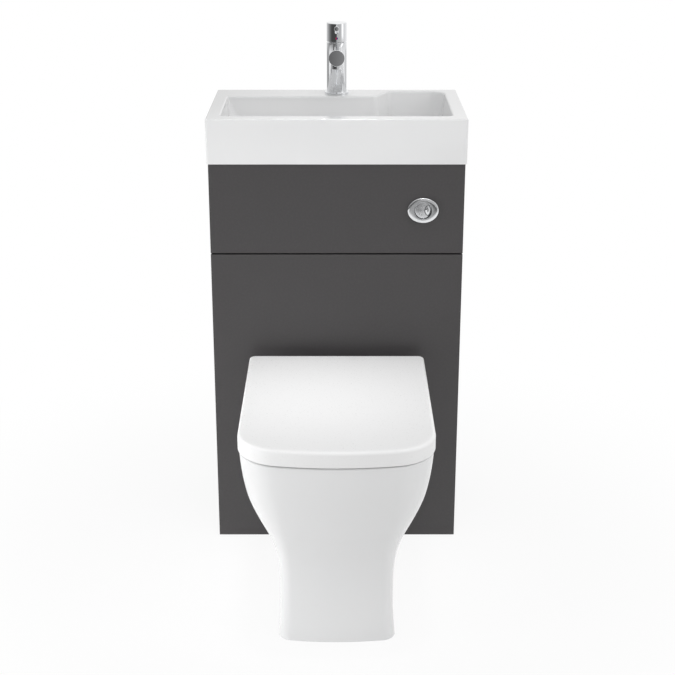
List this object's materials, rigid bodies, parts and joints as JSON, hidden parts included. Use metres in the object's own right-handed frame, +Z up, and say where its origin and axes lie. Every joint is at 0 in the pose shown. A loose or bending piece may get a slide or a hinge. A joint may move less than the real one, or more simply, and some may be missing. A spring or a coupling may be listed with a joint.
{
  "type": "combined toilet and basin",
  "caption": "Back-to-wall toilet pan with seat and lid, joined to a slim cabinet that hides the cistern and carries a ceramic basin with a mixer tap.",
  "frame": {"origin": "middle of the footprint, on the floor", "axes": "+Z up, +Y towards the wall, -Y towards the user, +X to the right as seen by the user"},
  "size_m": [0.5, 0.797, 1.032],
  "materials": {
    "cabinet_board": "dark grey satin laminate",
    "carcass_board": "plain grey board",
    "white_plastic": "white moulded plastic",
    "black_plastic": "black moulded plastic",
    "ceramic": "white gloss glaze",
    "chrome": "polished chrome",
    "aerator_steel": "fine mesh and bright ring",
    "steel": "zinc plated",
    "cartridge_plastic": "ivory moulded plastic",
    "mark": "half red, half blue enamel",
    "braided_hose": "braided steel over rubber",
    "brass": "turned brass",
    "cistern_plastic": "off-white moulded plastic",
    "float_plastic": "pale blue moulded plastic",
    "seal_rubber": "red silicone",
    "black_rubber": "black rubber",
    "air_hose": "clear-grey soft tube",
    "seat_plastic": "white gloss thermoset",
    "buffer_rubber": "pale grey rubber"
  },
  "bodies": {
    "cabinet_and_pan": {"left_side_panel": "cabinet_board", "right_side_panel": "cabinet_board", "front_lower_panel": "cabinet_board", "front_upper_panel": "cabinet_board", "front_rails": "carcass_board", "back_rails": "carcass_board", "cistern_shelf": "carcass_board", "corner_blocks": "white_plastic", "foot_glides": "black_plastic", "basin": "ceramic", "waste_body": "chrome", "waste_backnut": "chrome", "trap_body": "white_plastic", "trap_cup": "white_plastic", "trap_nuts": "white_plastic", "waste_pipe": "white_plastic", "tap_body": "chrome", "tap_aerator": "aerator_steel", "tap_stud": "steel", "tap_backing_washer": "steel", "tap_stud_nut": "steel", "tap_cartridge": "cartridge_plastic", "cartridge_dome": "steel", "tap_hoses": "braided_hose", "service_valves": "chrome", "valve_bracket": "steel", "cistern_tank": "cistern_plastic", "cistern_lid": "cistern_plastic", "fill_valve": "cistern_plastic", "flush_valve": "cistern_plastic", "cistern_backnut": "cistern_plastic", "flush_pipe": "white_plastic", "flush_cone": "black_rubber", "air_hoses": "air_hose", "button_bezel": "chrome", "button_housing": "white_plastic", "button_nut": "black_plastic", "pan": "ceramic", "pan_brackets": "steel", "pan_screws": "chrome", "pan_connector": "white_plastic", "hinge_posts": "chrome", "hinge_pins": "chrome", "seat_nuts": "white_plastic"},
    "seat": {"seat_ring": "seat_plastic", "seat_buffers": "buffer_rubber"},
    "lid": {"seat_lid": "seat_plastic", "lid_buffers": "buffer_rubber"},
    "tap_carrier": {"cartridge_carrier": "cartridge_plastic"},
    "handle": {"tap_handle": "chrome", "tap_lever_pin": "chrome", "temperature_mark": "mark", "cartridge_stem": "steel"},
    "full_button": {"full_flush_button": "chrome"},
    "half_button": {"half_flush_button": "chrome"},
    "seal": {"flush_seal": "seal_rubber"},
    "float": {"float_arm": "float_plastic"},
    "plug": {"waste_plug": "chrome"},
    "hot_screw": {"hot_spindle": "brass"},
    "cold_screw": {"cold_spindle": "brass"}
  },
  "joints": [
    {"name": "seat_hinge", "type": "hinge", "parent": "cabinet_and_pan", "child": "seat", "pos_m": [0, 0.0465, 0.4055], "axis": [-1, 0, 0], "range_deg": [0, 93]},
    {"name": "lid_hinge", "type": "hinge", "parent": "seat", "child": "lid", "pos_m": [0, 0.0465, 0.4055], "axis": [1, 0, 0], "range_deg": [-93, 0]},
    {"name": "tap_swivel", "type": "hinge", "parent": "cabinet_and_pan", "child": "tap_carrier", "pos_m": [0, 0.3595, 0.9933], "axis": [0, 0, 1], "range_deg": [-45, 45]},
    {"name": "tap_lift", "type": "hinge", "parent": "tap_carrier", "child": "handle", "pos_m": [0, 0.3595, 0.9933], "axis": [-1, 0, 0], "range_deg": [0, 22]},
    {"name": "full_button_press", "type": "slide", "parent": "cabinet_and_pan", "child": "full_button", "axis": [0, 1, 0], "range_m": [0, 0.004], "stiffness_N_per_m": 500},
    {"name": "half_button_press", "type": "slide", "parent": "cabinet_and_pan", "child": "half_button", "axis": [0, 1, 0], "range_m": [0, 0.004], "stiffness_N_per_m": 500},
    {"name": "flush_seal_lift", "type": "slide", "parent": "cabinet_and_pan", "child": "seal", "axis": [0, 0, 1], "range_m": [0, 0.02]},
    {"name": "float_hinge", "type": "hinge", "parent": "cabinet_and_pan", "child": "float", "pos_m": [0.122, 0.3225, 0.67], "axis": [0, -1, 0], "range_deg": [0, 25]},
    {"name": "waste_plug_lift", "type": "slide", "parent": "cabinet_and_pan", "child": "plug", "axis": [0, 0, 1], "range_m": [0, 0.008]},
    {"name": "hot_spindle_turn", "type": "hinge", "parent": "cabinet_and_pan", "child": "hot_screw", "pos_m": [0.186, 0.3635, 0.3], "axis": [0, 1, 0], "range_deg": [0, 90]},
    {"name": "cold_spindle_turn", "type": "hinge", "parent": "cabinet_and_pan", "child": "cold_screw", "pos_m": [0.214, 0.3635, 0.3], "axis": [0, 1, 0], "range_deg": [0, 90]}
  ],
  "couplings": [
    {"joint": "flush_seal_lift", "follows": "full_button_press", "ratio": 5}
  ]
}
